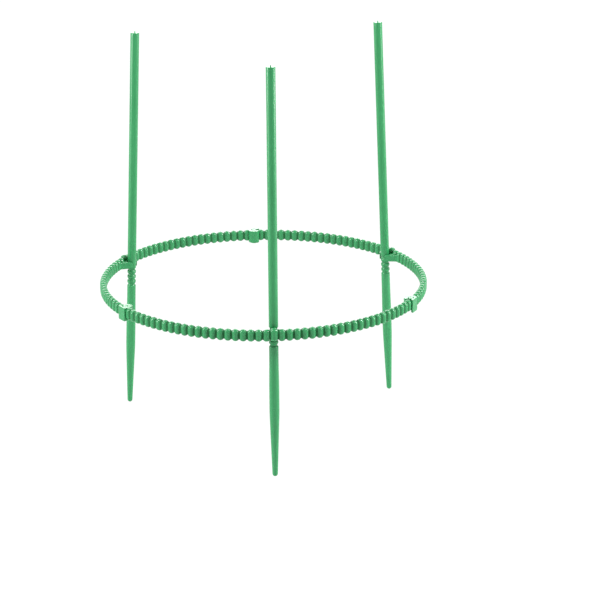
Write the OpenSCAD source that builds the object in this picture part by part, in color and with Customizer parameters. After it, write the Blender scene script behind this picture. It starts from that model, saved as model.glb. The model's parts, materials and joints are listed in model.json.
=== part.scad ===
// Plant support: a level ring of three clasped, beaded segments, carried by three notched ground stakes.
// The ring's axis is Z, the front stake stands at -Y, and the lowest stake tip is at Z = 0.

/* [Ring] */
// Radius of the ring's centre line
ring_r = 121; // [90:1:180]
// Diameter of one bead
bead_d = 5.1; // [4:0.1:7]
// Height of one bead, over its round ends
bead_h = 9; // [8:0.1:14]
// Least gap between neighbouring beads
bead_gap = 0.35; // [0.2:0.05:1]
// Thickness of the band that joins the beads
band_t = 2.6; // [1.6:0.1:3.2]
// Height of the band that joins the beads
band_h = 6; // [4:0.1:7.5]

/* [Clasp] */
// Diameter of the knob at the tail of a segment
knob_d = 3.8; // [3.4:0.1:4.4]
// Clearance of the knob and its neck in the clasp head
clasp_clear = 0.3; // [0.2:0.05:0.5]
// Wall of the clasp head on the outer side of the ring
clasp_wall = 1.3; // [0.8:0.1:2]
// Wall of the clasp head on the inner side of the ring
clasp_back = 3.1; // [2.2:0.1:5]
// Wall of the clasp head at each end, along the ring
clasp_end = 2.2; // [1.5:0.1:3]
// How far the clasp head reaches below the beads
clasp_drop = 1.3; // [0.5:0.1:3]
// Rounding of the clasp head's lower edges
clasp_round = 1.2; // [0.4:0.1:1.5]
// Chamfer at the ends of the knob
knob_chamfer = 0.4; // [0.2:0.1:0.8]
// Gap round the neighbour's bead where it sits in the end of the clasp head
clasp_gap = 0.35; // [0.2:0.05:0.6]

/* [Fingers] */
// Diameter of the larger bead that backs the stake
boss_d = 5.8; // [5:0.1:8]
// How far the larger bead stands above the others
boss_rise = 1; // [0.1:0.1:2]
// Thickness of the two fingers that grip the stake
finger_t = 1.4; // [0.8:0.1:2]
// Height of the fingers
finger_h = 5.2; // [4:0.1:7]
// Rounding of the fingers' tips
finger_round = 1.6; // [0.5:0.1:1.9]
// How far the middle of the fingers lies below the middle of the beads
finger_drop = 0.9; // [0:0.1:1.2]
// Thickness of the web between each finger and the ring
web_t = 1.6; // [1:0.1:2.5]
// How far the web lies below the top of its finger
web_drop = 0.2; // [0.1:0.1:0.6]
// How far the web stops short of its finger's tip
web_short = 2; // [1.9:0.1:4]
// How much wider the opening between the webs is than the grip of the fingers, at each side
web_clear = 0.85; // [0.8:0.05:1.5]
// Clearance between the fingers and the stake
finger_clear = 0.1; // [0.05:0.01:0.3]
// Clearance between the stake and the bead behind it
bead_clear = 0.3; // [0.2:0.05:1]
// Number of beads from the stake to the foot of each finger
finger_beads = 2; // [2:1:4]
// Height of the beads' lower ends above the notch that holds the stake
seat_rise = 0.7; // [0:0.1:1]

/* [Stake] */
// Length of a stake
stake_len = 300; // [220:1:500]
// Diameter of the stake's shaft
stake_d = 6.7; // [5:0.1:9]
// Largest diameter of the spike
spike_d = 7.2; // [5.5:0.1:10]
// Diameter of the blunt tip
tip_d = 4; // [2:0.1:4.5]
// Length of the taper above the tip
taper_len = 48; // [20:1:80]
// Length of the spike's full part above the taper
spike_len = 20; // [5:1:40]
// Length over which the spike narrows to the shaft
swell_len = 20; // [5:1:40]
// Length of plain shaft below the lowest notch
collar_len = 11.6; // [6:0.1:20]
// Inward lean of the stake's top, in degrees
stake_lean = 2.6; // [0:0.1:4]
// Chamfer round the stake's top
stake_chamfer = 0.2; // [0.1:0.1:1]
// Diameter of the moulding nub on the stake's top
nub_d = 1; // [0.6:0.1:3]
// Height of the moulding nub
nub_h = 0.9; // [0.3:0.1:2]

/* [Notches] */
// Number of notches round the stake
notch_count = 4; // [4:1:8]
// Distance between notches
notch_pitch = 4; // [3:0.1:6]
// Radius of a notch's round section
notch_r = 1.2; // [0.8:0.1:1.4]
// Depth of a notch
notch_depth = 0.7; // [0.3:0.05:1]
// Notch that holds the front stake, counted from the lowest
front_notch = 1; // [0:1:3]
// Notch that holds the left stake, counted from the lowest
left_notch = 3; // [0:1:3]
// Notch that holds the right stake, counted from the lowest
right_notch = 2; // [0:1:3]

/* [Hidden] */
$fn = 48;
green = "seagreen";
// How far a cut runs past the surface that it starts from
overrun = 1;

// Ring, made up of three like segments
segment_count = 3;
segment_deg = 360 / segment_count;
bead_r = bead_d / 2;
segment_arc = ring_r * segment_deg * PI / 180;
pitch_pairs = floor(segment_arc / (bead_d + bead_gap) / 2);
pitch_deg = segment_deg / pitch_pairs / 2;
last_bead = pitch_pairs - 1;

// Clasp
knob_r = knob_d / 2;
pocket_r = knob_r + clasp_clear;
slot_w = band_t + 2 * clasp_clear;
head_half = pocket_r + clasp_end;
head_out = pocket_r + clasp_wall;
head_in = pocket_r + clasp_back;
barrel_in = head_in - head_half;
head_low = -bead_h / 2 - clasp_drop;
head_h = bead_h + clasp_drop;
cut_h = head_h + 2 * overrun;

// Stake and fingers
stake_r = stake_d / 2;
spike_r = spike_d / 2;
tip_r = tip_d / 2;
boss_r = boss_d / 2;
boss_h = bead_h + boss_rise;
axis_in = boss_r + bead_clear + stake_r / cos(stake_lean) + (bead_h / 2 - boss_r) * tan(stake_lean);
axis_r = ring_r - axis_in;
finger_in = stake_r + finger_clear;
finger_mid = finger_in + finger_t / 2;
foot_deg = finger_beads * pitch_deg;
foot = [ring_r * sin(foot_deg), axis_r - ring_r * cos(foot_deg)];
finger_turn = acos(finger_mid / norm(foot)) + atan2(foot[1], foot[0]);
finger_run = sqrt(pow(norm(foot), 2) - pow(finger_mid, 2));
finger_across = [cos(finger_turn), sin(finger_turn)];
finger_back = [sin(finger_turn), -cos(finger_turn)];
web_end = finger_mid * finger_across + web_short * finger_back;
swell_z = taper_len + spike_len;
collar_z = swell_z + swell_len;
notch_z = collar_z + collar_len;
deep_notch = max(front_notch, left_notch, right_notch);
ring_z = (ring_on_stake(deep_notch) - tip_r) * cos(stake_lean) + tip_r;

// Distance from a stake's tip to the ring's level when that notch holds the stake
function ring_on_stake(notch) = notch_z + notch * notch_pitch + seat_rise + bead_h / 2;

// Point on the ring's centre line, moved out by a distance, at an angle from the front
function ring_point(deg, out) = [(ring_r + out) * sin(deg), -(ring_r + out) * cos(deg)];

// One upright bead with round ends
module bead(d, h) {
    straight = h - d;
    rotate_extrude()
        intersection() {
            union() {
                translate([-d / 2, -straight / 2])
                    square([d, straight]);
                for (end = [-1, 1])
                    translate([0, end * straight / 2])
                        circle(d = d);
            }
            translate([0, -h / 2])
                square([d / 2, h]);
        }
}

// Band through the beads, from the clasp head to the knob
module band() {
    stops = [for (k = [-pitch_pairs : pitch_pairs]) k * pitch_deg];
    outer = [for (deg = stops) ring_point(deg, band_t / 2)];
    inner = [for (i = [len(stops) - 1 : -1 : 0]) ring_point(stops[i], -band_t / 2)];
    translate([0, 0, -band_h / 2])
        linear_extrude(band_h)
            polygon(concat(outer, inner));
}

// Knob at the tail, with chamfered ends
module knob() {
    rotate([0, 0, segment_deg / 2])
        translate([0, -ring_r, -bead_h / 2]) {
            cylinder(h = knob_chamfer, r1 = knob_r - knob_chamfer, r2 = knob_r);
            translate([0, 0, knob_chamfer])
                cylinder(h = bead_h - 2 * knob_chamfer, r = knob_r);
            translate([0, 0, bead_h - knob_chamfer])
                cylinder(h = knob_chamfer, r1 = knob_r, r2 = knob_r - knob_chamfer);
        }
}

// Half outline of the head's round inner side, with its lower edge rounded
module barrel_outline() {
    square([head_half - clasp_round, head_h]);
    translate([0, clasp_round])
        square([head_half, head_h - clasp_round]);
    translate([head_half - clasp_round, clasp_round])
        circle(r = clasp_round);
}

// End view of the head's flat outer side, with its lower edges rounded
module block_outline() {
    for (side = [0, 1])
        mirror([side, 0])
            barrel_outline();
}

// Clasp head, round on the inner side of the ring
module clasp_head() {
    rotate([0, 0, -segment_deg / 2])
        translate([0, barrel_in - ring_r, head_low]) {
            intersection() {
                rotate_extrude()
                    intersection() {
                        barrel_outline();
                        square([head_half, head_h]);
                    }
                translate([-head_half, 0, 0])
                    cube([2 * head_half, head_half, head_h]);
            }
            rotate([90, 0, 0])
                linear_extrude(head_out + barrel_in)
                    block_outline();
        }
}

// Room in the clasp head for the neighbour's knob, its neck and its last bead
module clasp_room() {
    rotate([0, 0, -segment_deg / 2])
        translate([0, 0, head_low - overrun]) {
            translate([0, -ring_r, 0]) {
                cylinder(h = cut_h, r = pocket_r);
                rotate([0, 0, -pitch_deg / 2])
                    translate([-head_half - overrun, -slot_w / 2, 0])
                        cube([head_half + overrun, slot_w, cut_h]);
            }
            rotate([0, 0, -pitch_deg])
                translate([0, -ring_r, 0])
                    cylinder(h = cut_h, r = bead_r + clasp_gap);
        }
}

// Side view of a finger, from its foot to its rounded tip
module finger_outline() {
    translate([-finger_run, 0])
        square([finger_run - finger_round, finger_h]);
    translate([-finger_run, finger_round])
        square([finger_run, finger_h - 2 * finger_round]);
    for (z = [finger_round, finger_h - finger_round])
        translate([-finger_round, z])
            circle(r = finger_round);
}

// Plan of the web that joins a finger to the ring, clear of the stake
module web_outline() {
    difference() {
        polygon([foot, web_end, [0, axis_r - ring_r]]);
        circle(r = finger_in + web_clear);
    }
}

// Finger that runs inward from the ring, with its web
module finger() {
    rotate([0, 0, finger_turn])
        translate([finger_in, 0, 0])
            rotate([90, 0, 90])
                linear_extrude(finger_t)
                    finger_outline();
    translate([0, 0, finger_h - web_drop - web_t])
        linear_extrude(web_t)
            web_outline();
}

// Two fingers that hold the stake against the larger bead
module fingers() {
    translate([0, -axis_r, 0])
        rotate([-stake_lean, 0, 0])
            translate([0, 0, -finger_drop - finger_h / 2])
                for (side = [0, 1])
                    mirror([side, 0, 0])
                        finger();
}

// One third of the ring, with its middle at the front
module segment() {
    translate([0, 0, ring_z]) {
        difference() {
            union() {
                for (k = [-last_bead : last_bead])
                    rotate([0, 0, k * pitch_deg])
                        translate([0, -ring_r, k == 0 ? boss_rise / 2 : 0])
                            bead(k == 0 ? boss_d : bead_d, k == 0 ? boss_h : bead_h);
                band();
                knob();
                fingers();
                clasp_head();
            }
            clasp_room();
        }
    }
}

// Half outline of a stake, standing on its tip
module stake_outline() {
    polygon([
        [0, tip_r],
        [tip_r, tip_r],
        [spike_r, taper_len],
        [spike_r, swell_z],
        [stake_r, collar_z],
        [stake_r, stake_len - stake_chamfer],
        [stake_r - stake_chamfer, stake_len],
        [0, stake_len]
    ]);
}

// One stake at the front, held by the given notch
module stake(notch) {
    translate([0, -axis_r, ring_z])
        rotate([-stake_lean, 0, 0])
            translate([0, 0, -ring_on_stake(notch)]) {
                difference() {
                    rotate_extrude()
                        stake_outline();
                    for (i = [0 : notch_count - 1])
                        translate([0, 0, notch_z + i * notch_pitch])
                            rotate_extrude()
                                translate([stake_r - notch_depth + notch_r, 0])
                                    circle(r = notch_r);
                }
                translate([0, 0, tip_r])
                    sphere(r = tip_r);
                translate([0, 0, stake_len])
                    cylinder(h = nub_h, d = nub_d);
            }
}

module front_ring_segment() {
    color(green)
        segment();
}

module left_ring_segment() {
    color(green)
        rotate([0, 0, -segment_deg])
            segment();
}

module right_ring_segment() {
    color(green)
        rotate([0, 0, segment_deg])
            segment();
}

module front_stake() {
    color(green)
        stake(front_notch);
}

module left_stake() {
    color(green)
        rotate([0, 0, -segment_deg])
            stake(left_notch);
}

module right_stake() {
    color(green)
        rotate([0, 0, segment_deg])
            stake(right_notch);
}

front_ring_segment();
left_ring_segment();
right_ring_segment();
front_stake();
left_stake();
right_stake();
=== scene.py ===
"""Looks of a beaded plant support: its ring segments, stakes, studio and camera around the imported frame."""

import json
import logging
import math
from dataclasses import dataclass, field
from enum import Enum
from typing import Any, Union

import bmesh
import bpy
import numpy as np
from mathutils import Matrix, Vector


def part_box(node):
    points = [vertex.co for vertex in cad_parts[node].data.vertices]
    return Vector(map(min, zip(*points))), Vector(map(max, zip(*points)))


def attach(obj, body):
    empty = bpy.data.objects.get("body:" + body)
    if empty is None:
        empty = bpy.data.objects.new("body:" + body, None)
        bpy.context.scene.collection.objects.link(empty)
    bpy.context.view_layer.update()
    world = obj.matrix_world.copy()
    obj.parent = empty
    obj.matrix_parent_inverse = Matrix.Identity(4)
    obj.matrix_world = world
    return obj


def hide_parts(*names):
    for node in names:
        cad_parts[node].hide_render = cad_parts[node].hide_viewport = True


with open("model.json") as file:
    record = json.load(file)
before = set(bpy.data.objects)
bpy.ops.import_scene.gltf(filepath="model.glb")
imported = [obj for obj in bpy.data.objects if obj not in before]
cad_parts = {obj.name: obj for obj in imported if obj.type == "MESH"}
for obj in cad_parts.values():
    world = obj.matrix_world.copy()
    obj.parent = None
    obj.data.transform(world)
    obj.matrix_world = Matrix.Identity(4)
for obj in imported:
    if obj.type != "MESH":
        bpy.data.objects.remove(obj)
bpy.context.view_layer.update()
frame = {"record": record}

log = logging.getLogger("plant_support")

Array = np.ndarray
Lengths = Union[float, np.ndarray]
Term = Union[float, "Wire"]
Spot = tuple[float, float]
Triple = tuple[float, float, float]
WHITE = (1.0, 1.0, 1.0, 1.0)
NOISE_MIDDLE = 0.5


class Place(Enum):
    """Where a third of the ring and its stake stand: the turn about the ring's axis, in degrees."""

    FRONT = 0.0
    LEFT = -120.0
    RIGHT = 120.0

    @property
    def label(self) -> str:
        """The place's word in the names of nodes and bodies."""
        return self.name.lower()

    def turned(self, points: Array) -> Array:
        """Turns points from the front to this place.

        Args:
            points: Points in the frame, along the last axis of the array.

        Returns:
            The turned points, in the same shape.
        """
        return points @ np.array(Matrix.Rotation(math.radians(self.value), 3, "Z")).T


class Mark(Enum):
    """Values that a moulding's points carry for its finish."""

    RELIEF = "relief"
    ALONG = "along"


class Wire:
    """A shader socket that adds Math nodes when it is used in arithmetic."""

    def __init__(self, graph: "Graph", socket: bpy.types.NodeSocket) -> None:
        """Wraps one output socket.

        Args:
            graph: The material's node graph.
            socket: The output that the wire carries.
        """
        self.graph = graph
        self.socket = socket

    def _math(self, operation: str, first: Term, second: Term = 0.0, clamp: bool = False) -> "Wire":
        """Adds a Math node.

        Args:
            operation: The Math node's operation.
            first: First value.
            second: Second value.
            clamp: Whether the result is held between 0 and 1.

        Returns:
            The node's result.
        """
        settings = {"operation": operation, "use_clamp": clamp}
        return self.graph.wire("ShaderNodeMath", "Value", settings, {0: first, 1: second})

    def __add__(self, other: Term) -> "Wire":
        """Sum of two values."""
        return self._math("ADD", self, other)

    def __radd__(self, other: Term) -> "Wire":
        """Sum with the wire on the right."""
        return self._math("ADD", other, self)

    def __sub__(self, other: Term) -> "Wire":
        """Difference of two values."""
        return self._math("SUBTRACT", self, other)

    def __rsub__(self, other: Term) -> "Wire":
        """Difference with the wire on the right."""
        return self._math("SUBTRACT", other, self)

    def __mul__(self, other: Term) -> "Wire":
        """Product of two values."""
        return self._math("MULTIPLY", self, other)

    def __rmul__(self, other: Term) -> "Wire":
        """Product with the wire on the right."""
        return self._math("MULTIPLY", other, self)

    def clamped(self) -> "Wire":
        """The value held between 0 and 1."""
        return self._math("ADD", self, 0.0, clamp=True)

    def ramp(self, start: float, end: float) -> "Wire":
        """Eases from 0 to 1 as the value goes from start to end.

        Args:
            start: Term that gives 0.
            end: Term that gives 1.

        Returns:
            The eased value.
        """
        settings = {"interpolation_type": "SMOOTHSTEP"}
        inputs = {"Value": self, "From Min": start, "From Max": end}
        return self.graph.wire("ShaderNodeMapRange", "Result", settings, inputs)


class Graph:
    """The node graph of one material or world."""

    def __init__(self, owner: Union[bpy.types.Material, bpy.types.World]) -> None:
        """Starts an empty graph.

        Args:
            owner: The material or world that the graph belongs to.
        """
        owner.use_nodes = True
        self.tree = owner.node_tree
        self.tree.nodes.clear()

    def node(self, kind: str, settings: dict[str, Any], inputs: dict[Any, Any]) -> bpy.types.Node:
        """Adds a node, sets it up, then fills its inputs.

        Args:
            kind: The node's type.
            settings: The node's own properties, set first.
            inputs: Terms or wires by input name or number.

        Returns:
            The node.
        """
        node = self.tree.nodes.new(kind)
        for name, value in settings.items():
            setattr(node, name, value)
        for name, value in inputs.items():
            if isinstance(value, Wire):
                self.tree.links.new(value.socket, node.inputs[name])
            else:
                node.inputs[name].default_value = value
        return node

    def wire(self, kind: str, output: Any, settings: dict[str, Any], inputs: dict[Any, Any]) -> Wire:
        """Adds a node and takes one of its outputs.

        Args:
            kind: The node's type.
            output: Name or number of the output.
            settings: The node's own properties.
            inputs: Terms or wires by input name or number.

        Returns:
            The output.
        """
        return Wire(self, self.node(kind, settings, inputs).outputs[output])

    def mark(self, mark: Mark) -> Wire:
        """The value of a mark that the moulding's points carry."""
        return self.wire("ShaderNodeAttribute", "Fac", {"attribute_name": mark.value}, {})

    def stretched(self, vector: Wire, scale: Triple) -> Wire:
        """A vector multiplied by a scale for each axis."""
        return self.wire("ShaderNodeVectorMath", "Vector", {"operation": "MULTIPLY"}, {0: vector, 1: scale})

    def noise(self, vector: Wire, scale: float, detail: float) -> Wire:
        """Soft noise about its middle value.

        Args:
            vector: Where the noise is read.
            scale: Patches per metre.
            detail: Number of finer layers.

        Returns:
            The noise.
        """
        inputs = {"Vector": vector, "Scale": scale, "Detail": detail}
        return self.wire("ShaderNodeTexNoise", "Fac", {}, inputs)

    def blend(self, share: Wire, low: Any, high: Any) -> Wire:
        """Mixes two colours.

        Args:
            share: Share of the second colour.
            low: First colour or wire.
            high: Second colour or wire.

        Returns:
            The mixed colour.
        """
        inputs = {0: share, 6: low, 7: high}
        return self.wire("ShaderNodeMix", 2, {"data_type": "RGBA", "clamp_factor": True}, inputs)

    def seen_rays(self) -> Wire:
        """Tells rays that show a surface to the camera, straight or through a reflection or glass.

        Returns:
            1 for such rays, 0 for others.
        """
        path = self.node("ShaderNodeLightPath", {}, {})
        rays = [Wire(self, path.outputs[f"Is {kind} Ray"]) for kind in ("Camera", "Glossy", "Transmission")]
        return (rays[0] + rays[1] + rays[2]).clamped()


@dataclass(frozen=True)
class Plastic:
    """Semi-gloss moulded plastic with a faint cloud, flow streaks and paler wear on its open surface.

    For each pattern, tone is its share of the paler colour, dull is what it adds to the roughness,
    and rise or sink is its height in the bump. Creases take a darker colour, which is painted shade,
    and a higher roughness.
    """

    name: str
    roughness: float
    colour: Triple = (0.018, 0.198, 0.062)
    # Painted shade: the darker colour that creases take.
    deep: Triple = (0.001, 0.09, 0.02)
    pale: Triple = (0.034, 0.26, 0.098)
    specular: float = 0.4
    cloud_scale: float = 34.0
    cloud_detail: float = 3.0
    cloud_tone: float = 0.55
    cloud_dull: float = 0.1
    cloud_rise: float = 0.8
    streak_scale: Triple = (520.0, 520.0, 9.0)
    streak_detail: float = 3.0
    streak_tone: float = 0.4
    streak_rise: float = 0.4
    grain_scale: float = 1400.0
    grain_detail: float = 2.0
    grain_tone: float = 0.12
    grain_dull: float = 0.08
    grain_rise: float = 0.35
    worn_from: float = 0.0
    worn_to: float = 0.0
    worn_tone: float = 0.3
    worn_dull: float = 0.16
    worn_sink: float = 0.5
    scuff_streak: float = 0.7
    scuff_grain: float = 0.3
    scuff_from: float = 0.46
    scuff_to: float = 0.66
    middle_tone: float = 0.28
    crease_to: float = 0.55
    crease_dull: float = 0.6
    bump_strength: float = 0.22
    bump_distance: float = 0.0002

    def make(self) -> bpy.types.Material:
        """Builds the material.

        Returns:
            The material.
        """
        material = bpy.data.materials.new(self.name)
        graph = Graph(material)
        where = graph.wire("ShaderNodeTexCoord", "Object", {}, {})
        relief = graph.mark(Mark.RELIEF)
        cloud = graph.noise(where, self.cloud_scale, self.cloud_detail)
        grain = graph.noise(where, self.grain_scale, self.grain_detail)
        streak = graph.noise(graph.stretched(where, self.streak_scale), 1.0, self.streak_detail)
        worn = self._wear(graph, grain, streak)

        tone = (cloud - NOISE_MIDDLE) * self.cloud_tone + (streak - NOISE_MIDDLE) * self.streak_tone
        tone = tone + (grain - NOISE_MIDDLE) * self.grain_tone + self.middle_tone + worn * self.worn_tone
        open_colour = graph.blend(tone.clamped(), (*self.colour, 1.0), (*self.pale, 1.0))
        # Creases darken towards a painted shade colour, standing in for the shade in the gaps and notches.
        open_share = relief.ramp(0.0, self.crease_to)
        colour = graph.blend(open_share, (*self.deep, 1.0), open_colour)
        dull = (1.0 - open_share) * self.crease_dull
        roughness = (cloud - NOISE_MIDDLE) * self.cloud_dull + (grain - NOISE_MIDDLE) * self.grain_dull
        roughness = roughness + worn * self.worn_dull + dull + self.roughness
        height = grain * self.grain_rise + streak * self.streak_rise + cloud * self.cloud_rise
        normal = graph.wire("ShaderNodeBump", "Normal", {}, {
            "Strength": self.bump_strength,
            "Distance": self.bump_distance,
            "Height": height - worn * self.worn_sink,
        })
        shader = graph.node("ShaderNodeBsdfPrincipled", {}, {
            "Base Color": colour,
            "Roughness": roughness,
            "Normal": normal,
            "Specular IOR Level": self.specular,
        })
        graph.node("ShaderNodeOutputMaterial", {}, {"Surface": Wire(graph, shader.outputs["BSDF"])})
        return material

    def _wear(self, graph: Graph, grain: Wire, streak: Wire) -> Wire:
        """Scuffs toward the worn end of the piece.

        Args:
            graph: The material's graph.
            grain: Fine noise.
            streak: Noise drawn out along the piece.

        Returns:
            1 where the surface is scuffed.
        """
        toward_end = graph.mark(Mark.ALONG).ramp(self.worn_from, self.worn_to)
        scuffs = streak * self.scuff_streak + grain * self.scuff_grain
        return toward_end * scuffs.ramp(self.scuff_from, self.scuff_to)


def soft_max(first: Array, second: Array, blend: float) -> Array:
    """Larger of two lengths, with the change-over rounded.

    Args:
        first: First length.
        second: Second length.
        blend: How wide the rounding is.

    Returns:
        The rounded larger length.
    """
    return (first + second + np.sqrt((first - second) ** 2 + blend**2)) / 2


def arc(centre: Spot, radius: float, start: float, end: float, count: int) -> Array:
    """Points along a circle.

    Args:
        centre: The circle's centre.
        radius: The circle's radius.
        start: First angle in degrees.
        end: Last angle in degrees.
        count: Number of points, both ends included.

    Returns:
        The points, shape (count, 2).
    """
    angle = np.radians(np.linspace(start, end, count))
    return np.column_stack([centre[0] + radius * np.cos(angle), centre[1] + radius * np.sin(angle)])


def meeting(first: Spot, first_r: float, second: Spot, second_r: float) -> Array:
    """Meeting point of two circles, on the right of the way from the first to the second.

    Args:
        first: Centre of the first circle.
        first_r: Radius of the first circle.
        second: Centre of the second circle.
        second_r: Radius of the second circle.

    Returns:
        The meeting point.
    """
    way = np.subtract(second, first)
    gap = np.linalg.norm(way)
    way = way / gap
    near = (first_r**2 - second_r**2 + gap**2) / (2 * gap)
    side = math.sqrt(first_r**2 - near**2)
    return np.array(first) + near * way + side * np.array([way[1], -way[0]])


def edge_inset(radius: Lengths, level: float) -> Lengths:
    """How far a rounded edge stands back from the side above it.

    Args:
        radius: The edge's radius.
        level: Height over the edge's foot.

    Returns:
        The distance back, 0 above the rounding.
    """
    return radius - np.sqrt(radius**2 - np.maximum(radius - level, 0) ** 2)


def bar_loops(
    half_width: Array, half_height: Array, corner: Array, seam_rise: float, seam_half: float, steps: int = 6
) -> Array:
    """Sections of a rounded bar with a fine seam at mid height on both sides.

    Args:
        half_width: Half width of each section.
        half_height: Half height of each section.
        corner: Corner radius of each section.
        seam_rise: How far the seam stands out.
        seam_half: Half width of the seam.
        steps: Number of points round a corner.

    Returns:
        Width and height of every point, shape (sections, places, 2).
    """
    turn = np.radians(np.linspace(0, 90, steps))
    side = half_height - corner
    across = [half_width + seam_rise, half_width, half_width]
    across += [half_width - corner * (1 - math.cos(angle)) for angle in turn]
    up = [0 * side, 0 * side + seam_half, side / 2]
    up += [side + corner * math.sin(angle) for angle in turn]
    quarter = np.stack([np.stack(across, -1), np.stack(up, -1)], -1)
    top = np.stack([0 * half_height, half_height], -1)[:, None]
    flip = np.array([-1, 1])
    upper = np.concatenate([quarter, top, quarter[:, :0:-1] * flip], 1)
    return np.concatenate([upper, upper * -1], 1)


def lathe_loops(profile: Array, angles: Array, seam_rise: float = 0.0) -> Array:
    """Turns a profile about the Z axis.

    Args:
        profile: Radius and height of each loop, shape (loops, 2).
        angles: Angles of the places in a loop, in degrees; the seam runs at 0 and 180.
        seam_rise: How far the seam stands out.

    Returns:
        Points, shape (loops, places, 3).
    """
    turn = np.radians(angles)
    seam = np.isin(angles, (0.0, 180.0)) * seam_rise
    radius = profile[:, :1] * (1 + seam / profile[:, 0].max())
    height = np.broadcast_to(profile[:, 1:], radius.shape)
    return np.stack([radius * np.cos(turn), radius * np.sin(turn), height], -1)


@dataclass
class Skin:
    """Surface of one moulding, gathered from closed swept shapes.

    The relief mark goes from 0 in a crease to 1 on open surface and sets how much painted shade
    a crease gets; the along mark is the distance in metres along the piece.
    """

    points: list[Array] = field(default_factory=list)
    marks: dict[Mark, list[Array]] = field(default_factory=lambda: {mark: [] for mark in Mark})
    faces: list[tuple[int, ...]] = field(default_factory=list)
    count: int = 0
    sharp_angle: float = 48.0

    def sweep(self, rows: Array, relief: Lengths, along: Lengths) -> None:
        """Adds a tube of loops, closed at both ends.

        Args:
            rows: Points by loop and place, shape (loops, places, 3).
            relief: Relief marks, in a shape that spreads over (loops, places).
            along: Along marks, in a shape that spreads over (loops, places).
        """
        loops, places, _ = rows.shape
        index = self.count + np.arange(loops * places).reshape(loops, places)
        follow = np.roll(index, -1, axis=1)
        quads = np.stack([index[:-1], follow[:-1], follow[1:], index[1:]], -1).reshape(-1, 4)
        self.faces += [tuple(quad) for quad in quads.tolist()]
        self.faces += [tuple(index[0, ::-1].tolist()), tuple(index[-1].tolist())]
        self.points.append(rows.reshape(-1, 3))
        for mark, values in ((Mark.RELIEF, relief), (Mark.ALONG, along)):
            self.marks[mark].append(np.broadcast_to(values, (loops, places)).ravel())
        self.count += loops * places

    def build(self, name: str, place: Place) -> bpy.types.Object:
        """Makes the object.

        Args:
            name: The object's name.
            place: Where the piece stands; its points were laid out at the front.

        Returns:
            The object, in the scene.
        """
        mesh = bpy.data.meshes.new(name)
        mesh.from_pydata(place.turned(np.concatenate(self.points)).tolist(), [], self.faces)
        for mark, values in self.marks.items():
            layer = mesh.attributes.new(mark.value, "FLOAT", "POINT")
            layer.data.foreach_set("value", np.concatenate(values).astype(np.float32))
        shell = bmesh.new()
        shell.from_mesh(mesh)
        bmesh.ops.recalc_face_normals(shell, faces=shell.faces)
        shell.to_mesh(mesh)
        shell.free()
        mesh.shade_smooth()
        mesh.set_sharp_from_angle(angle=math.radians(self.sharp_angle))
        piece = bpy.data.objects.new(name, mesh)
        bpy.context.scene.collection.objects.link(piece)
        shading = piece.modifiers.new("flat faces stay flat", "WEIGHTED_NORMAL")
        shading.keep_sharp = True
        return piece


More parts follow.
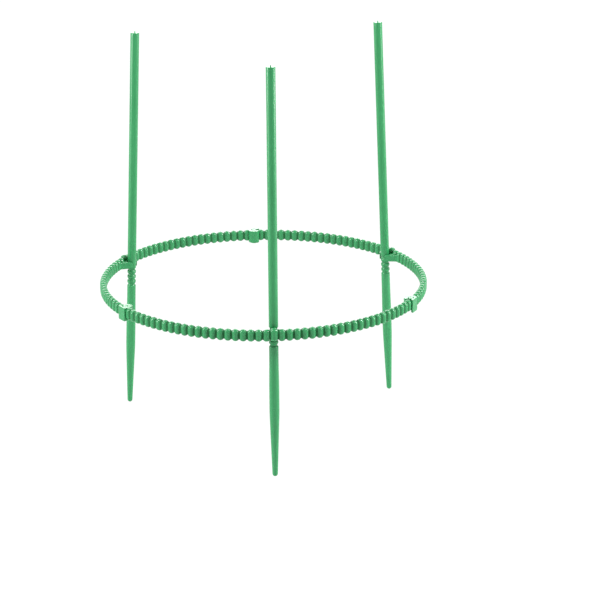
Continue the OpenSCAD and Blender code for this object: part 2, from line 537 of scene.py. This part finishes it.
@dataclass
class BeadedBand:
    """String of beads on a band, with the clasp's knob at its tail."""

    level: float
    radius: float = 0.121
    segment_degrees: float = 120.0
    pitch_pairs: int = 23
    bead_width: float = 0.0051
    bead_height: float = 0.009
    boss_width: float = 0.0058
    boss_rise: float = 0.001
    band_width: float = 0.0026
    band_height: float = 0.006
    inner_fill: float = 0.0004
    crease_blend: float = 0.0003
    seam_rise: float = 0.00004
    seam_half: float = 0.0001
    head_inset: float = 0.0028
    knob_width: float = 0.0038
    knob_round: float = 0.0005
    knob_steps: int = 5
    knob_step_degrees: float = 12.0
    crown_degrees: tuple[int, ...] = (0, 14, 27, 39, 49, 56, 62, 69)
    band_corner_share: float = 0.5
    bead_corner_share: float = 0.96

    @property
    def pitch(self) -> float:
        """Distance between beads along the ring."""
        return self.radius * math.radians(self.segment_degrees) / (2 * self.pitch_pairs)

    def at(self, along: Lengths, out: Lengths, up: Lengths) -> Array:
        """Places points by the ring's own directions.

        Args:
            along: Distance along the ring's centre line from the front.
            out: Distance outward from the centre line.
            up: Height over the ring's level.

        Returns:
            Points in the frame.
        """
        turn = along / self.radius
        reach = self.radius + out
        parts = np.broadcast_arrays(reach * np.sin(turn), -reach * np.cos(turn), self.level + up)
        return np.stack(parts, -1)

    def stations(self) -> Array:
        """Distances along the ring at which a section is drawn, close together beside each crease.

        Returns:
            The distances, from the clasp head to the knob.
        """
        half = self.bead_width / 2 * np.sin(np.radians(self.crown_degrees))
        steps = np.concatenate([-half[:0:-1], half, [self.pitch / 2]])
        beads = np.arange(-self.pitch_pairs, self.pitch_pairs + 1) * self.pitch
        spots = (beads[:, None] + steps).ravel()
        start = -self.pitch_pairs * self.pitch + self.head_inset
        end = self.pitch_pairs * self.pitch
        inside = spots[(spots > start + self.seam_half) & (spots < end - self.seam_half)]
        return np.concatenate([[start], inside, [end]])

    def swell(self, along: Array) -> Array:
        """Reach of the string from its centre line at each station.

        Args:
            along: Distances along the ring.

        Returns:
            Reaches outward, inward, upward and downward, shape (4, stations).
        """
        reach = np.zeros((4, len(along)))
        for number in range(1 - self.pitch_pairs, self.pitch_pairs):
            bead_r = (self.bead_width if number else self.boss_width) / 2
            rise = 0.0 if number else self.boss_rise
            straight = self.bead_height / 2 - bead_r
            crown = np.sqrt(np.maximum(bead_r**2 - (along - number * self.pitch) ** 2, 0))
            bead = np.stack([crown, crown, straight + rise + crown, straight + crown])
            reach = np.maximum(reach, np.where(crown > 0, bead, 0))
        wide, high = np.full((2, len(along)), [[self.band_width / 2], [self.band_height / 2]])
        between_beads = np.abs(along) < (self.pitch_pairs - 1) * self.pitch
        band = np.stack([wide, wide + self.inner_fill * between_beads, high, high])
        limit = np.maximum(reach, band + self.crease_blend / 2)
        return np.minimum(soft_max(reach, band, self.crease_blend), limit)

    def add_to(self, skin: Skin) -> None:
        """Adds the string and its knob.

        Args:
            skin: The segment's skin.
        """
        along = self.stations()
        outward, inward, upward, downward = self.swell(along)
        band_half = self.band_width / 2
        crown = np.clip((outward - band_half) / (self.bead_width / 2 - band_half), 0, 1)
        half_width = (outward + inward) / 2
        corner = half_width * np.interp(crown, (0, 1), (self.band_corner_share, self.bead_corner_share))
        side = half_width - self.seam_rise
        loops = bar_loops(side, (upward + downward) / 2, corner, self.seam_rise, self.seam_half)
        out = loops[..., 0] + (outward - inward)[:, None] / 2
        up = loops[..., 1] + (upward - downward)[:, None] / 2
        # The crown share is the relief mark, so the band between the beads takes the painted shade.
        skin.sweep(self.at(along[:, None], out, up), crown[:, None], along[:, None])
        self._add_knob(skin)

    def _add_knob(self, skin: Skin) -> None:
        """Adds the knob, an upright pin with rounded rims.

        Args:
            skin: The segment's skin.
        """
        end = self.pitch_pairs * self.pitch
        radius, half = self.knob_width / 2, self.bead_height / 2
        corner = (radius - self.knob_round, half - self.knob_round)
        rim = arc(corner, self.knob_round, 0, 90, self.knob_steps)
        profile = np.concatenate([rim[::-1] * (1, -1), rim])
        loops = lathe_loops(profile, np.arange(0, 360, self.knob_step_degrees))
        skin.sweep(self.at(end + loops[..., 0], loops[..., 1], loops[..., 2]), 1.0, end)


@dataclass
class ClaspHead:
    """Block at the head of a segment that takes the neighbour's knob, round on the inner side of the ring.

    Below, its barrel is rounded more than its block, and the rounding fades from one to the other.
    """

    band: BeadedBand
    clearance: float = 0.0003
    outer_wall: float = 0.0013
    inner_wall: float = 0.0031
    end_wall: float = 0.0022
    drop: float = 0.0013
    barrel_round: float = 0.0018
    block_round: float = 0.00045
    end_round: float = 0.0012
    rim_round: float = 0.00025
    corner_round: float = 0.0005
    bead_gap: float = 0.00035
    fade: float = 0.0022
    corner_steps: int = 5
    face_steps: int = 7
    barrel_steps: int = 26
    recess_steps: tuple[int, int] = (6, 7)
    pocket_steps: int = 30
    foot_steps: int = 9

    @property
    def pocket(self) -> float:
        """Radius of the room for the neighbour's knob."""
        return self.band.knob_width / 2 + self.clearance

    def outline(self) -> tuple[Array, Array]:
        """Plan of the head, along the ring and inward from the centre line.

        Returns:
            Points round the plan, and for each the rounding of its lower edge.
        """
        pocket = self.pocket
        half, out = pocket + self.end_wall, pocket + self.outer_wall
        barrel = pocket + self.inner_wall - half
        slot = self.band.band_width / 2 + self.clearance
        recess = self.band.bead_width / 2 + self.bead_gap
        turn = self.band.pitch / self.band.radius
        bead = (-self.band.radius * math.sin(turn), self.band.radius * (1 - math.cos(turn)))
        lean = math.degrees(turn / 2)

        horn = meeting((0.0, barrel), half, bead, recess)
        horn_on_barrel = math.degrees(math.atan2(horn[1] - barrel, horn[0]))
        horn_on_recess = math.degrees(math.atan2(horn[1] - bead[1], horn[0] - bead[0]))
        lip = math.degrees(math.asin(slot / recess))
        mouth = math.degrees(math.asin(slot / pocket))
        heel = -math.degrees(math.acos((-half - bead[0]) / recess))

        inset = half - self.corner_round
        face = self.corner_round - out
        across = np.linspace(-inset, inset, self.face_steps)[1:-1]
        block = np.concatenate([
            arc((-inset, face), self.corner_round, 180, 270, self.corner_steps),
            np.column_stack([across, np.full(len(across), -out)]),
            arc((inset, face), self.corner_round, 270, 360, self.corner_steps),
        ])
        barrel_side = arc((0.0, barrel), half, 0, horn_on_barrel, self.barrel_steps)
        inside = np.concatenate([
            arc(bead, recess, horn_on_recess, lip - lean, self.recess_steps[0])[1:],
            arc((0.0, 0.0), pocket, 180 - lean - mouth, mouth - lean - 180, self.pocket_steps),
            arc(bead, recess, -lip - lean, heel, self.recess_steps[1]),
        ])
        run = np.linspace(0, half * math.radians(horn_on_barrel), len(barrel_side))
        share = np.clip(np.minimum(run, run[-1] - run) / self.fade, 0, 1)
        low = np.concatenate([
            np.full(len(block), self.block_round),
            self.block_round + (self.barrel_round - self.block_round) * share,
            np.full(len(inside), self.rim_round),
        ])
        return np.concatenate([block, barrel_side, inside]), low

    def levels(self, low: Array) -> list[tuple[Array, float, float]]:
        """Levels at which the plan is drawn, from the rounded foot to the rim.

        Args:
            low: Rounding of the lower edge at each point of the plan.

        Returns:
            For each level, how far the points stand back, how far the ends draw in, and the height.
        """
        bottom = -self.band.bead_height / 2 - self.drop
        top = self.band.bead_height / 2
        steps = 1 - np.cos(np.radians(np.linspace(0, 90, self.foot_steps)))
        foot = [(edge_inset(low, level), edge_inset(self.end_round, level), bottom + level)
                for level in steps * self.barrel_round]
        high = np.full(len(low), self.rim_round)
        return foot + [(edge_inset(high, level), 0.0, top - level) for level in steps[::-2] * self.rim_round]

    def add_to(self, skin: Skin) -> None:
        """Adds the head.

        Args:
            skin: The segment's skin.
        """
        plan, low = self.outline()
        ahead = np.roll(plan, -1, axis=0) - plan
        ahead = ahead / np.linalg.norm(ahead, axis=1, keepdims=True)
        tangent = ahead + np.roll(ahead, 1, axis=0)
        tangent = tangent / np.linalg.norm(tangent, axis=1, keepdims=True)
        inward = np.column_stack([-tangent[:, 1], tangent[:, 0]])

        middle = -self.band.pitch_pairs * self.band.pitch
        angle = middle / self.band.radius
        radial = np.array([math.sin(angle), -math.cos(angle), 0.0])
        forward = np.array([math.cos(angle), math.sin(angle), 0.0])
        centre = self.band.radius * radial + np.array([0.0, 0.0, self.band.level])
        firm = self.pocket + self.rim_round
        loops = []
        for inset, end_inset, height in self.levels(low):
            spots = plan + inward * inset[:, None]
            beyond = np.maximum(np.abs(spots[:, 0]) - firm, 0) / (self.pocket + self.end_wall - firm)
            spots[:, 0] -= np.sign(spots[:, 0]) * beyond * end_inset
            lift = np.array([0.0, 0.0, height])
            loops.append(centre + spots[:, :1] * forward - spots[:, 1:] * radial + lift)
        skin.sweep(np.array(loops), 1.0, middle)


@dataclass
class Fingers:
    """Two springy fingers that run inward from the ring and grip the stake against the larger bead.

    Foot shares are parts of a bead's radius, flare spots parts of the flare's run, and shank and taper
    shares parts of the finger's whole run.
    """

    band: BeadedBand
    stake_width: float
    lean: float
    clearance: float = 0.0001
    bead_clearance: float = 0.0003
    thick: float = 0.0014
    tip_thick: float = 0.001
    height: float = 0.0052
    tip_round: float = 0.0016
    drop: float = 0.0009
    edge_round: float = 0.0003
    foot_beads: int = 2
    foot_flare: float = 0.0009
    flare_run: float = 0.0008
    web_thick: float = 0.0016
    web_drop: float = 0.0002
    web_short: float = 0.002
    web_clearance: float = 0.00085
    web_round: float = 0.0002
    web_round_steps: int = 4
    web_rim_steps: int = 18
    foot_shares: tuple[float, float] = (0.2, 1.0)
    foot_steps: int = 4
    flare_spots: tuple[float, ...] = (0.3, 0.7, 1.2, 2.0, 3.2)
    shank_shares: tuple[float, float] = (0.55, 0.3)
    shank_steps: int = 3
    tip_degrees: tuple[float, float] = (90.0, 8.0)
    tip_steps: int = 12
    taper_share: float = 0.5
    corner_limit: float = 0.9

    @property
    def axis_radius(self) -> float:
        """Where the stake stands, clear of the larger bead.

        Returns:
            Distance of the stake's axis from the ring's axis, at the ring's level.
        """
        boss_r = self.band.boss_width / 2
        straight = self.band.bead_height / 2 - boss_r
        stake = self.stake_width / 2 / math.cos(self.lean)
        return self.band.radius - boss_r - self.bead_clearance - stake - straight * math.tan(self.lean)

    def add_to(self, skin: Skin) -> None:
        """Adds both fingers with their webs.

        Args:
            skin: The segment's skin.
        """
        inner = self.stake_width / 2 + self.clearance
        foot_turn = self.foot_beads * self.band.pitch / self.band.radius
        foot = np.array([self.band.radius * math.sin(foot_turn),
                         self.axis_radius - self.band.radius * math.cos(foot_turn)])
        reach = np.linalg.norm(foot)
        middle = inner + self.thick / 2
        turn = math.acos(middle / reach) + math.atan2(foot[1], foot[0])
        run = math.sqrt(reach**2 - middle**2)

        bead_r = self.band.bead_width / 2
        in_bead = np.linspace(*self.foot_shares, self.foot_steps) * bead_r
        past_bead = bead_r + np.array(self.flare_spots) * self.flare_run
        shank = np.linspace(*self.shank_shares, self.shank_steps) * run
        from_tip = self.tip_round * (1 - np.cos(np.radians(np.linspace(*self.tip_degrees, self.tip_steps))))
        tip_gap = np.concatenate([run - in_bead, run - past_bead, shank, from_tip])
        flare = np.exp(-np.maximum(run - tip_gap - bead_r, 0) / self.flare_run) * self.foot_flare
        taper = np.clip(tip_gap / (run * self.taper_share), 0, 1)
        thick = self.tip_thick + (self.thick - self.tip_thick) * taper
        short = np.clip(1 - tip_gap / self.tip_round, 0, 1)
        blunt = np.clip(1 - tip_gap / (self.tip_thick / 2), 0, 1)
        half_height = self.height / 2 - self.tip_round * (1 - np.sqrt(1 - short**2))
        half_width = (thick + flare) / 2 * np.sqrt(1 - blunt**2)
        corner = np.minimum(self.edge_round, half_width * self.corner_limit)
        loops = bar_loops(half_width, half_height, corner, 0.0, self.band.seam_half)

        normal = np.array([math.cos(turn), math.sin(turn)])
        forward = np.array([math.sin(turn), -math.cos(turn)])
        path = normal * (inner + thick / 2)[:, None] + forward * tip_gap[:, None]
        plan = path[:, None] + normal * loops[..., :1]
        finger = np.concatenate([plan, loops[..., 1:] - self.drop], -1)
        web = self._web(foot, normal * middle + forward * self.web_short, inner + self.web_clearance)
        tilt = np.array(Matrix.Rotation(-self.lean, 3, "X"))
        for side in (1.0, -1.0):
            for shape in (finger, web):
                rows = (shape * (side, 1.0, 1.0)) @ tilt.T + (0.0, -self.axis_radius, self.band.level)
                skin.sweep(rows, 1.0, 0.0)

    def _web(self, foot: Array, end: Array, opening: float) -> Array:
        """Flat web between a finger and the ring, with a rounded upper edge beside the stake.

        Args:
            foot: Where the finger leaves the ring, from the stake's axis.
            end: Where the web ends in the finger.
            opening: Radius of the room for the stake.

        Returns:
            Points by loop and place, shape (loops, places, 3).
        """
        boss = np.array([0.0, self.axis_radius - self.band.radius])
        way = (boss - end) / np.linalg.norm(boss - end)
        nearest = -end @ way
        half = math.sqrt(opening**2 - end @ end + nearest**2)
        rim = [end + way * (nearest + step) for step in (-half, half)]
        start, stop = (math.degrees(math.atan2(spot[1], spot[0])) for spot in rim)
        top = self.height / 2 - self.drop - self.web_drop
        rows = [(0.0, top - self.web_thick)]
        for turn in np.radians(np.linspace(0, 90, self.web_round_steps)):
            rows.append((self.web_round * (1 - math.cos(turn)), top - self.web_round * (1 - math.sin(turn))))
        loops = []
        for inset, height in rows:
            beside_stake = arc((0.0, 0.0), opening + inset, start, stop, self.web_rim_steps)
            plan = np.concatenate([[foot, end], beside_stake, [boss]])
            loops.append(np.column_stack([plan, np.full(len(plan), height)]))
        return np.array(loops)


@dataclass
class RingSegment:
    """One third of the ring: a string of beads, its clasp head and the fingers for a stake."""

    place: Place
    band: BeadedBand
    head: ClaspHead
    fingers: Fingers

    def build(self) -> bpy.types.Object:
        """Makes the segment's skin.

        Returns:
            The piece.
        """
        skin = Skin()
        self.band.add_to(skin)
        self.head.add_to(skin)
        self.fingers.add_to(skin)
        return skin.build(f"{self.place.label}_ring_segment_skin", self.place)

    def dress(self, piece: bpy.types.Object, finish: bpy.types.Material) -> None:
        """Finishes the piece and ties it to its body.

        Args:
            piece: The segment's skin.
            finish: The ring's plastic.
        """
        piece.data.materials.append(finish)
        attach(piece, f"{self.place.label}_segment")
        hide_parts(f"{self.place.label}_ring_segment")


@dataclass
class Stake:
    """Notched ground stake with a blunt spike and a moulding nub on its top."""

    place: Place
    length: float = 0.3
    width: float = 0.0067
    spike_width: float = 0.0072
    tip_width: float = 0.004
    taper: float = 0.048
    spike: float = 0.02
    swell: float = 0.02
    collar: float = 0.0116
    notches: int = 4
    notch_pitch: float = 0.004
    notch_radius: float = 0.0012
    notch_depth: float = 0.0007
    notch_blend: float = 0.00022
    top_round: float = 0.0002
    nub_width: float = 0.001
    nub_height: float = 0.0009
    blend_run: float = 0.004
    seam_rise: float = 0.00004
    seam_half: float = 0.0001
    notch_shade: float = 0.6
    nub_fillet_share: float = 0.4
    nub_crown_share: float = 0.35
    nub_flat_share: float = 0.1
    tip_degrees: float = -84.0
    tip_steps: int = 9
    rim_degrees: float = 15.0
    rim_steps: int = 6
    nub_steps: int = 4
    blend_steps: int = 15
    taper_steps: int = 9
    knee_steps: int = 7
    collar_steps: int = 16
    notch_steps: int = 26
    shaft_steps: int = 15
    turn_degrees: float = 10.0

    @property
    def notch_span(self) -> tuple[float, float]:
        """Distances of the first and last notch from the tip."""
        first = self.taper + self.spike + self.swell + self.collar
        return first, first + (self.notches - 1) * self.notch_pitch

    @property
    def spike_mount(self) -> dict[str, Any]:
        """The record's mount at the middle of the spike's full part."""
        name = f"{self.place.label}_stake_spike"
        return next(mount for mount in frame["record"]["mounts"] if mount["name"] == name)

    @property
    def up(self) -> Vector:
        """Direction of the stake, tip to top."""
        return -Vector(self.spike_mount["axis"]).normalized()

    @property
    def tip(self) -> Vector:
        """The stake's lowest point on its axis."""
        return Vector(self.spike_mount["pos_m"]) - self.up * (self.taper + self.spike / 2)

    @property
    def lean(self) -> float:
        """Lean of the stake from upright, in radians."""
        return self.up.angle(Vector((0.0, 0.0, 1.0)))

    def radii(self, height: Array) -> Array:
        """Radius of the shaft and spike, with soft changes of slope and the notches cut in.

        Args:
            height: Distances from the tip.

        Returns:
            Radii.
        """
        tip_r, spike_r, shaft_r = self.tip_width / 2, self.spike_width / 2, self.width / 2
        swell_from = self.taper + self.spike
        stops = [tip_r, self.taper, swell_from, swell_from + self.swell, self.length]
        sizes = [tip_r, spike_r, spike_r, shaft_r, shaft_r]
        reach = np.clip(height - tip_r, 0, self.blend_run)
        shifts = np.linspace(-1, 1, self.blend_steps)
        body = np.mean([np.interp(height + shift * reach, stops, sizes) for shift in shifts], axis=0)
        cut = np.zeros_like(height)
        for number in range(self.notches):
            off = height - self.notch_span[0] - number * self.notch_pitch
            round_cut = np.sqrt(np.maximum(self.notch_radius**2 - off**2, 0))
            cut = np.maximum(cut, round_cut - (self.notch_radius - self.notch_depth))
        eased = soft_max(cut, np.zeros_like(cut), self.notch_blend)
        return body - np.where(cut > 0, np.minimum(eased, self.notch_depth), 0)

    def profile(self) -> Array:
        """Outline of the stake from tip to nub.

        Returns:
            Radius and height of each loop, shape (loops, 2).
        """
        tip_r = self.tip_width / 2
        dome = arc((0.0, tip_r), tip_r, self.tip_degrees, 0, self.tip_steps)
        first, last = self.notch_span
        edge = self.length - self.top_round
        stops = [
            tip_r,
            self.taper - self.blend_run,
            self.taper + self.blend_run,
            first - self.notch_pitch / 2,
            last + self.notch_pitch / 2,
            edge,
        ]
        notch_steps = self.notches * self.notch_steps + 1
        counts = (self.taper_steps, self.knee_steps, self.collar_steps, notch_steps, self.shaft_steps)
        spans = zip(stops[:-1], stops[1:], counts)
        heights = np.concatenate([np.linspace(start, end, count)[1:] for start, end, count in spans])
        shaft = np.column_stack([self.radii(heights), heights])
        rim_centre = (self.width / 2 - self.top_round, edge)
        rim = arc(rim_centre, self.top_round, self.rim_degrees, 90, self.rim_steps)
        nub_r, nub_top = self.nub_width / 2, self.length + self.nub_height
        fillet, bevel = nub_r * self.nub_fillet_share, nub_r * self.nub_crown_share
        foot = arc((nub_r + fillet, self.length + fillet), fillet, 270, 180, self.nub_steps)
        crown = arc((nub_r - bevel, nub_top - bevel), bevel, 0, 90, self.nub_steps)
        return np.concatenate([dome, shaft, rim, foot, crown, [[nub_r * self.nub_flat_share, nub_top]]])

    def build(self) -> bpy.types.Object:
        """Makes the stake's skin.

        Returns:
            The piece.
        """
        seam = math.degrees(self.seam_half / (self.width / 2))
        between_seams = np.arange(self.turn_degrees, 180, self.turn_degrees)
        half_turn = np.concatenate([[0.0, seam], between_seams, [180 - seam]])
        profile = self.profile()
        loops = lathe_loops(profile, np.concatenate([half_turn, half_turn + 180]), self.seam_rise)
        stand = np.array(self.up.to_track_quat("Z", "Y").to_matrix())
        rows = loops @ stand.T + np.array(self.tip)
        first, last = self.notch_span
        notched = (profile[:, 1] > first - self.notch_pitch) & (profile[:, 1] < last + self.notch_pitch)
        depth = np.where(notched, (self.width / 2 - profile[:, 0]) / self.notch_depth, 0)
        skin = Skin()
        # Deeper parts of the notches get a lower relief mark and so the painted shade.
        skin.sweep(rows, 1 - np.clip(depth, 0, 1)[:, None] * self.notch_shade, profile[:, 1:])
        return skin.build(f"{self.place.label}_stake_skin", Place.FRONT)

    def dress(self, piece: bpy.types.Object, finish: bpy.types.Material) -> None:
        """Finishes the piece and ties it to its body.

        Args:
            piece: The stake's skin.
            finish: The stakes' plastic.
        """
        piece.data.materials.append(finish)
        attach(piece, f"{self.place.label}_stake_body")
        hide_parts(f"{self.place.label}_stake")


@dataclass(frozen=True)
class Softbox:
    """A studio lamp, wide and tall."""

    name: str
    place: Triple
    aim: Triple
    size: tuple[float, float]
    power: float

    def build(self) -> bpy.types.Object:
        """Hangs the lamp.

        Returns:
            The lamp.
        """
        lamp = bpy.data.lights.new(self.name, "AREA")
        lamp.shape = "RECTANGLE"
        lamp.size, lamp.size_y = self.size
        lamp.energy = self.power
        holder = bpy.data.objects.new(self.name, lamp)
        holder.location = self.place
        holder.rotation_euler = (Vector(self.aim) - Vector(self.place)).to_track_quat("-Z", "Y").to_euler()
        bpy.context.scene.collection.objects.link(holder)
        return holder


@dataclass
class Studio:
    """White floor and surroundings with soft lamps."""

    floor_half: float = 6.0
    floor_tone: float = 0.9
    floor_white: float = 0.92
    world_light: float = 0.18
    lamps: tuple[Softbox, ...] = (
        Softbox("left_strip", (-1.28, -0.22, 0.3), (0.0, -0.1, 0.3), (0.26, 0.6), 10.5),
        Softbox("right_strip", (1.28, -0.22, 0.3), (0.0, -0.1, 0.3), (0.26, 0.6), 12.5),
        Softbox("left_softbox", (-0.95, -0.32, 1.12), (0.0, 0.0, 0.12), (0.25, 0.25), 17.0),
        Softbox("right_softbox", (0.95, -0.32, 1.12), (0.0, 0.0, 0.12), (0.25, 0.25), 19.5),
        Softbox("rear_softbox", (0.0, 2.0, 1.15), (0.0, 0.0, 0.12), (2.4, 1.7), 60.0),
    )

    def build(self) -> None:
        """Lays the floor, sets the surroundings and hangs the lamps."""
        bpy.context.scene.view_settings.view_transform = "Standard"
        self._floor()
        self._world()
        for lamp in self.lamps:
            lamp.build()

    def _floor(self) -> None:
        """Lays the floor, white to the eye with the object's shadow left in."""
        half = self.floor_half
        mesh = bpy.data.meshes.new("floor")
        corners = [(-half, -half, 0.0), (half, -half, 0.0), (half, half, 0.0), (-half, half, 0.0)]
        mesh.from_pydata(corners, [], [(0, 1, 2, 3)])
        floor = bpy.data.objects.new("floor", mesh)
        bpy.context.scene.collection.objects.link(floor)
        material = bpy.data.materials.new("white_floor")
        graph = Graph(material)
        tone = (self.floor_tone,) * 3 + (1.0,)
        paint = graph.wire("ShaderNodeBsdfDiffuse", "BSDF", {}, {"Color": tone})
        glow = graph.wire("ShaderNodeEmission", "Emission", {}, {"Color": WHITE, "Strength": 1.0})
        share = graph.seen_rays() * self.floor_white
        mixed = graph.wire("ShaderNodeMixShader", "Shader", {}, {0: share, 1: paint, 2: glow})
        graph.node("ShaderNodeOutputMaterial", {}, {"Surface": mixed})
        mesh.materials.append(material)

    def _world(self) -> None:
        """Sets even surroundings, white to the eye and softer as a light."""
        world = bpy.data.worlds.new("white_surroundings")
        bpy.context.scene.world = world
        graph = Graph(world)
        strength = graph.seen_rays() * (1.0 - self.world_light) + self.world_light
        light = graph.wire("ShaderNodeBackground", "Background", {}, {"Color": WHITE, "Strength": strength})
        graph.node("ShaderNodeOutputWorld", {}, {"Surface": light})


@dataclass
class PhotoCamera:
    """Camera at the photograph's angle, aimed at the ring's centre."""

    aim: Vector
    azimuth: float = -3.45
    elevation: float = 18.3
    distance: float = 1.7545
    focal_pixels: float = 2315.9
    picture: tuple[int, int] = (595, 607)
    aim_pixel: tuple[float, float] = (262.91, 281.35)
    roll: float = -0.56
    sensor: float = 36.0

    def build(self) -> bpy.types.Object:
        """Sets up the camera.

        Returns:
            The camera.
        """
        turn, rise = math.radians(self.azimuth), math.radians(self.elevation)
        back = Vector((math.sin(turn) * math.cos(rise), -math.cos(turn) * math.cos(rise), math.sin(rise)))
        lens = bpy.data.cameras.new("photo_camera")
        long_side = max(self.picture)
        lens.sensor_width = self.sensor
        lens.lens = self.focal_pixels / long_side * self.sensor
        lens.shift_x = ((self.picture[0] - 1) / 2 - self.aim_pixel[0]) / long_side
        lens.shift_y = (self.aim_pixel[1] - (self.picture[1] - 1) / 2) / long_side
        camera = bpy.data.objects.new("photo_camera", lens)
        face = back.to_track_quat("Z", "Y").to_matrix().to_4x4()
        roll = Matrix.Rotation(math.radians(self.roll), 4, "Z")
        camera.matrix_world = Matrix.Translation(self.aim + back * self.distance) @ face @ roll
        bpy.context.scene.collection.objects.link(camera)
        bpy.context.scene.camera = camera
        return camera


def ring_level() -> float:
    """Height of the ring's middle, from the top of its larger beads."""
    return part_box("front_ring_segment")[1].z - BeadedBand.boss_rise - BeadedBand.bead_height / 2


def main() -> None:
    """Builds the segments, the stakes, the studio and the camera."""
    logging.basicConfig(level=logging.INFO, format="%(name)s: %(message)s")
    ring_plastic = Plastic("ring_plastic", roughness=0.22).make()
    stake_plastic = Plastic("stake_plastic", roughness=0.24, worn_from=0.075).make()

    level = ring_level()
    for place in Place:
        stake = Stake(place)
        band = BeadedBand(level)
        segment = RingSegment(place, band, ClaspHead(band), Fingers(band, stake.width, stake.lean))
        for part, finish in ((segment, ring_plastic), (stake, stake_plastic)):
            piece = part.build()
            part.dress(piece, finish)
            log.info("%s: %d faces", piece.name, len(piece.data.polygons))

    middle = Vector((0.0, 0.0, level))
    Studio().build()
    camera = PhotoCamera(middle).build()
    log.info("camera at %s", tuple(round(value, 3) for value in camera.location))


if __name__ == "__main__":
    main()
